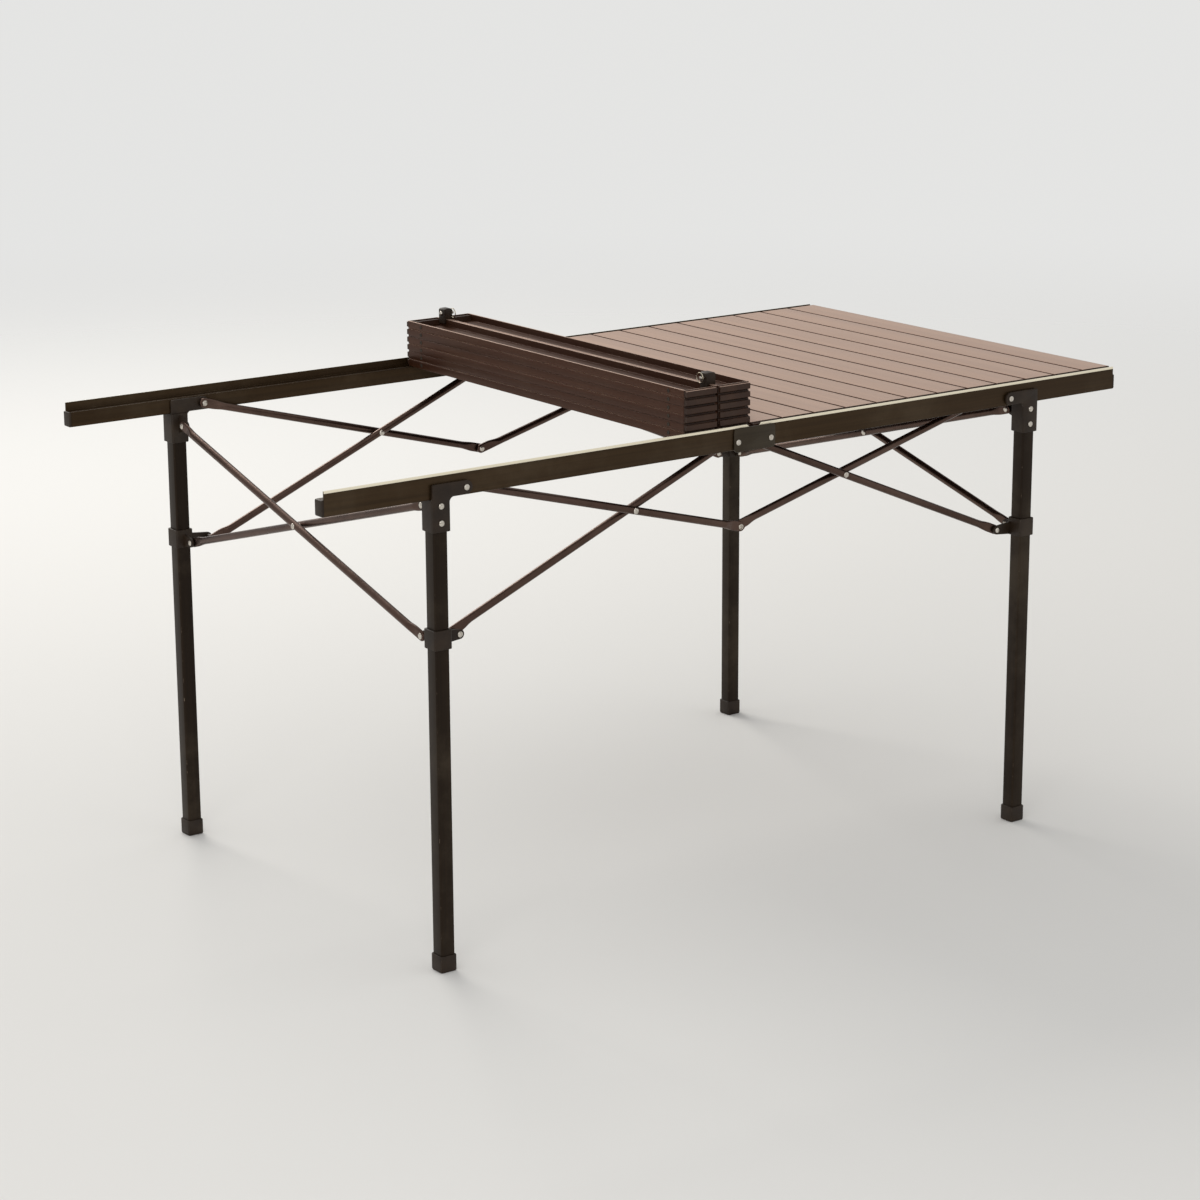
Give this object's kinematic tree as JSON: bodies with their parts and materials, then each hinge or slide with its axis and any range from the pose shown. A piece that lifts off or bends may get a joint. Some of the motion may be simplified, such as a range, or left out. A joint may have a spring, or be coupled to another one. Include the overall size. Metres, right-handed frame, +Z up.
{
  "type": "folding camp table",
  "caption": "Folding camp table: slatted roll-away top, half of it laid out and half stacked, on a scissor frame with folding side rails and sliding leg collars.",
  "frame": {"origin": "on the floor, in the middle of the four feet", "axes": "+X along the table's length towards the end with the slats laid out, +Y across it to the far side, +Z up"},
  "size_m": [1.4, 0.7342, 0.7653],
  "materials": {
    "bronze_aluminium": "dark bronze, satin",
    "slat_aluminium": "tan bronze, satin",
    "dark_plastic": "moulded, matt",
    "bright_steel": "plated"
  },
  "bodies": {
    "leg_near_left_body": {"leg_tube_near_left": "bronze_aluminium", "leg_foot_near_left": "dark_plastic", "leg_bracket_near_left": "dark_plastic", "rail_rivet_near_left": "bright_steel"},
    "rail_near_left_body": {"rail_near_left": "bronze_aluminium", "rail_cap_near_left": "dark_plastic"},
    "collar_near_left_body": {"collar_near_left": "dark_plastic"},
    "side_bar_high_near_left_body": {"side_bar_high_near_left": "bronze_aluminium"},
    "side_bar_low_near_left_body": {"side_bar_low_near_left": "bronze_aluminium"},
    "end_bar_near_left_body": {"end_bar_near_left": "bronze_aluminium"},
    "leg_near_right_body": {"leg_tube_near_right": "bronze_aluminium", "leg_foot_near_right": "dark_plastic", "leg_bracket_near_right": "dark_plastic", "rail_rivet_near_right": "bright_steel"},
    "rail_near_right_body": {"rail_near_right": "bronze_aluminium", "rail_cap_near_right": "dark_plastic"},
    "collar_near_right_body": {"collar_near_right": "dark_plastic"},
    "side_bar_high_near_right_body": {"side_bar_high_near_right": "bronze_aluminium"},
    "side_bar_low_near_right_body": {"side_bar_low_near_right": "bronze_aluminium"},
    "end_bar_near_right_body": {"end_bar_near_right": "bronze_aluminium"},
    "hinge_plate_near_body": {"hinge_plate_near": "bronze_aluminium"},
    "leg_far_left_body": {"leg_tube_far_left": "bronze_aluminium", "leg_foot_far_left": "dark_plastic", "leg_bracket_far_left": "dark_plastic", "rail_rivet_far_left": "bright_steel"},
    "rail_far_left_body": {"rail_far_left": "bronze_aluminium", "rail_cap_far_left": "dark_plastic"},
    "collar_far_left_body": {"collar_far_left": "dark_plastic"},
    "side_bar_high_far_left_body": {"side_bar_high_far_left": "bronze_aluminium"},
    "side_bar_low_far_left_body": {"side_bar_low_far_left": "bronze_aluminium"},
    "end_bar_far_left_body": {"end_bar_far_left": "bronze_aluminium"},
    "leg_far_right_body": {"leg_tube_far_right": "bronze_aluminium", "leg_foot_far_right": "dark_plastic", "leg_bracket_far_right": "dark_plastic", "rail_rivet_far_right": "bright_steel"},
    "rail_far_right_body": {"rail_far_right": "bronze_aluminium", "rail_cap_far_right": "dark_plastic"},
    "collar_far_right_body": {"collar_far_right": "dark_plastic"},
    "side_bar_high_far_right_body": {"side_bar_high_far_right": "bronze_aluminium"},
    "side_bar_low_far_right_body": {"side_bar_low_far_right": "bronze_aluminium"},
    "end_bar_far_right_body": {"end_bar_far_right": "bronze_aluminium"},
    "hinge_plate_far_body": {"hinge_plate_far": "bronze_aluminium"},
    "top_body": {"slat_pair_06": "slat_aluminium", "slat_pair_07": "slat_aluminium", "slat_pair_08": "slat_aluminium", "slat_pair_09": "slat_aluminium", "slat_pair_10": "slat_aluminium", "slat_pair_11": "slat_aluminium", "slat_pair_12": "slat_aluminium"},
    "slat_pair_05_body": {"slat_pair_05": "slat_aluminium"},
    "slat_pair_04_body": {"slat_pair_04": "slat_aluminium"},
    "slat_pair_03_body": {"slat_pair_03": "slat_aluminium"},
    "slat_pair_02_body": {"slat_pair_02": "slat_aluminium"},
    "slat_pair_01_body": {"slat_pair_01": "slat_aluminium", "clip_near": "dark_plastic", "clip_far": "dark_plastic", "clip_bolt_near": "bright_steel", "clip_bolt_far": "bright_steel"},
    "split_ring_near_body": {"split_ring_near": "bright_steel"},
    "split_ring_far_body": {"split_ring_far": "bright_steel"}
  },
  "joints": [
    {"name": "frame_fold", "type": "hinge", "parent": "leg_near_left_body", "child": "rail_near_left_body", "pos_m": [-0.483, -0.351, 0.667], "axis": [0, 1, 0], "range_deg": [0, 90]},
    {"name": "plate_left_hinge_near", "type": "hinge", "parent": "rail_near_left_body", "child": "hinge_plate_near_body", "pos_m": [-0.029, -0.351, 0.667], "axis": [0, 1, 0], "range_deg": [-90.5, 0]},
    {"name": "plate_right_hinge_near", "type": "hinge", "parent": "hinge_plate_near_body", "child": "rail_near_right_body", "pos_m": [0.029, -0.351, 0.667], "axis": [0, 1, 0], "range_deg": [-90.5, 0]},
    {"name": "leg_near_right_hinge", "type": "hinge", "parent": "rail_near_right_body", "child": "leg_near_right_body", "pos_m": [0.483, -0.351, 0.667], "axis": [0, 1, 0], "range_deg": [0, 90.5]},
    {"name": "end_bar_near_left_hinge", "type": "hinge", "parent": "leg_near_left_body", "child": "end_bar_near_left_body", "pos_m": [-0.523, -0.319, 0.64], "axis": [1, 0, 0], "range_deg": [-49.52, 0]},
    {"name": "end_cross_left", "type": "hinge", "parent": "end_bar_near_left_body", "child": "end_bar_far_left_body", "pos_m": [-0.523, 0, 0.5515], "axis": [1, 0, 0], "range_deg": [0, 98.55]},
    {"name": "leg_far_left_hinge", "type": "hinge", "parent": "end_bar_far_left_body", "child": "leg_far_left_body", "pos_m": [-0.523, 0.319, 0.64], "axis": [1, 0, 0], "range_deg": [-49.52, 0]},
    {"name": "rail_far_left_hinge", "type": "hinge", "parent": "leg_far_left_body", "child": "rail_far_left_body", "pos_m": [-0.483, 0.351, 0.667], "axis": [0, 1, 0], "range_deg": [0, 90.5]},
    {"name": "plate_left_hinge_far", "type": "hinge", "parent": "rail_far_left_body", "child": "hinge_plate_far_body", "pos_m": [-0.029, 0.351, 0.667], "axis": [0, 1, 0], "range_deg": [-90.5, 0]},
    {"name": "plate_right_hinge_far", "type": "hinge", "parent": "hinge_plate_far_body", "child": "rail_far_right_body", "pos_m": [0.029, 0.351, 0.667], "axis": [0, 1, 0], "range_deg": [-90.5, 0]},
    {"name": "leg_far_right_hinge", "type": "hinge", "parent": "rail_far_right_body", "child": "leg_far_right_body", "pos_m": [0.483, 0.351, 0.667], "axis": [0, 1, 0], "range_deg": [0, 90.5]},
    {"name": "end_bar_near_right_hinge", "type": "hinge", "parent": "leg_near_right_body", "child": "end_bar_near_right_body", "pos_m": [0.523, -0.319, 0.64], "axis": [1, 0, 0], "range_deg": [-49.52, 0]},
    {"name": "end_cross_right", "type": "hinge", "parent": "end_bar_near_right_body", "child": "end_bar_far_right_body", "pos_m": [0.523, 0, 0.5515], "axis": [1, 0, 0], "range_deg": [0, 98.55]},
    {"name": "side_bar_high_near_left_hinge", "type": "hinge", "parent": "leg_near_left_body", "child": "side_bar_high_near_left_body", "pos_m": [-0.483, -0.351, 0.667], "axis": [0, 1, 0], "range_deg": [0, 72.11]},
    {"name": "side_cross_near_left", "type": "hinge", "parent": "side_bar_high_near_left_body", "child": "side_bar_low_near_left_body", "pos_m": [-0.18799, -0.351, 0.5876], "axis": [0, 1, 0], "range_deg": [-136.04, 0]},
    {"name": "collar_near_left_slide", "type": "slide", "parent": "leg_near_left_body", "child": "collar_near_left_body", "axis": [0, 0, -1], "range_m": [0, 0.42124]},
    {"name": "side_bar_high_near_right_hinge", "type": "hinge", "parent": "leg_near_right_body", "child": "side_bar_high_near_right_body", "pos_m": [0.483, -0.351, 0.667], "axis": [0, 1, 0], "range_deg": [-72.11, 0]},
    {"name": "side_cross_near_right", "type": "hinge", "parent": "side_bar_high_near_right_body", "child": "side_bar_low_near_right_body", "pos_m": [0.18799, -0.351, 0.5876], "axis": [0, 1, 0], "range_deg": [0, 136.04]},
    {"name": "collar_near_right_slide", "type": "slide", "parent": "leg_near_right_body", "child": "collar_near_right_body", "axis": [0, 0, -1], "range_m": [0, 0.42124]},
    {"name": "side_bar_high_far_left_hinge", "type": "hinge", "parent": "leg_far_left_body", "child": "side_bar_high_far_left_body", "pos_m": [-0.483, 0.351, 0.667], "axis": [0, 1, 0], "range_deg": [0, 72.11]},
    {"name": "side_cross_far_left", "type": "hinge", "parent": "side_bar_high_far_left_body", "child": "side_bar_low_far_left_body", "pos_m": [-0.18799, 0.351, 0.5876], "axis": [0, 1, 0], "range_deg": [-136.04, 0]},
    {"name": "collar_far_left_slide", "type": "slide", "parent": "leg_far_left_body", "child": "collar_far_left_body", "axis": [0, 0, -1], "range_m": [0, 0.42124]},
    {"name": "side_bar_high_far_right_hinge", "type": "hinge", "parent": "leg_far_right_body", "child": "side_bar_high_far_right_body", "pos_m": [0.483, 0.351, 0.667], "axis": [0, 1, 0], "range_deg": [-72.11, 0]},
    {"name": "side_cross_far_right", "type": "hinge", "parent": "side_bar_high_far_right_body", "child": "side_bar_low_far_right_body", "pos_m": [0.18799, 0.351, 0.5876], "axis": [0, 1, 0], "range_deg": [0, 136.04]},
    {"name": "collar_far_right_slide", "type": "slide", "parent": "leg_far_right_body", "child": "collar_far_right_body", "axis": [0, 0, -1], "range_m": [0, 0.42124]},
    {"name": "top_lift_off", "type": "slide", "parent": "leg_near_left_body", "child": "top_body", "axis": [0, 0, 1], "range_m": [0, 0.94298]},
    {"name": "top_unfold_first", "type": "hinge", "parent": "top_body", "child": "slat_pair_05_body", "pos_m": [-0.11667, 0, 0.68995], "axis": [0, -1, 0], "range_deg": [0, 180]},
    {"name": "slat_hinge_04", "type": "hinge", "parent": "slat_pair_05_body", "child": "slat_pair_04_body", "pos_m": [0, 0, 0.70175], "axis": [0, -1, 0], "range_deg": [-180, 0]},
    {"name": "top_unfold_second", "type": "hinge", "parent": "slat_pair_04_body", "child": "slat_pair_03_body", "pos_m": [-0.11667, 0, 0.71355], "axis": [0, -1, 0], "range_deg": [0, 180]},
    {"name": "slat_hinge_02", "type": "hinge", "parent": "slat_pair_03_body", "child": "slat_pair_02_body", "pos_m": [0, 0, 0.72535], "axis": [0, -1, 0], "range_deg": [-180, 0]},
    {"name": "top_unfold_third", "type": "hinge", "parent": "slat_pair_02_body", "child": "slat_pair_01_body", "pos_m": [-0.11667, 0, 0.73715], "axis": [0, -1, 0], "range_deg": [0, 180]},
    {"name": "split_ring_near_swing", "type": "hinge", "parent": "slat_pair_01_body", "child": "split_ring_near_body", "pos_m": [-0.06843, -0.33, 0.7578], "axis": [1, 0, 0], "range_deg": [-90, 90]},
    {"name": "split_ring_far_swing", "type": "hinge", "parent": "slat_pair_01_body", "child": "split_ring_far_body", "pos_m": [-0.04823, 0.33, 0.7578], "axis": [1, 0, 0], "range_deg": [-90, 90]}
  ],
  "couplings": [
    {"joint": "plate_left_hinge_near", "follows": "frame_fold", "ratio": -1},
    {"joint": "plate_right_hinge_near", "follows": "frame_fold", "ratio": -1},
    {"joint": "leg_near_right_hinge", "follows": "frame_fold", "ratio": 1},
    {"joint": "end_bar_near_left_hinge", "follows": "frame_fold", "ratio": -0.5447},
    {"joint": "end_cross_left", "follows": "frame_fold", "ratio": 1.0894},
    {"joint": "leg_far_left_hinge", "follows": "frame_fold", "ratio": -0.5447},
    {"joint": "rail_far_left_hinge", "follows": "frame_fold", "ratio": 1},
    {"joint": "plate_left_hinge_far", "follows": "frame_fold", "ratio": -1},
    {"joint": "plate_right_hinge_far", "follows": "frame_fold", "ratio": -1},
    {"joint": "leg_far_right_hinge", "follows": "frame_fold", "ratio": 1},
    {"joint": "end_bar_near_right_hinge", "follows": "frame_fold", "ratio": -0.5447},
    {"joint": "end_cross_right", "follows": "frame_fold", "ratio": 1.0894},
    {"joint": "side_bar_high_near_left_hinge", "follows": "frame_fold", "ratio": 0.79569},
    {"joint": "side_cross_near_left", "follows": "frame_fold", "ratio": -1.506},
    {"joint": "collar_near_left_slide", "follows": "frame_fold", "m_per_rad": 0.26785},
    {"joint": "side_bar_high_near_right_hinge", "follows": "frame_fold", "ratio": -0.79569},
    {"joint": "side_cross_near_right", "follows": "frame_fold", "ratio": 1.506},
    {"joint": "collar_near_right_slide", "follows": "frame_fold", "m_per_rad": 0.26785},
    {"joint": "side_bar_high_far_left_hinge", "follows": "frame_fold", "ratio": 0.79569},
    {"joint": "side_cross_far_left", "follows": "frame_fold", "ratio": -1.506},
    {"joint": "collar_far_left_slide", "follows": "frame_fold", "m_per_rad": 0.26785},
    {"joint": "side_bar_high_far_right_hinge", "follows": "frame_fold", "ratio": -0.79569},
    {"joint": "side_cross_far_right", "follows": "frame_fold", "ratio": 1.506},
    {"joint": "collar_far_right_slide", "follows": "frame_fold", "m_per_rad": 0.26785},
    {"joint": "top_lift_off", "follows": "frame_fold", "m_per_rad": 0.6},
    {"joint": "slat_hinge_04", "follows": "top_unfold_first", "ratio": -1},
    {"joint": "slat_hinge_02", "follows": "top_unfold_second", "ratio": -1}
  ]
}
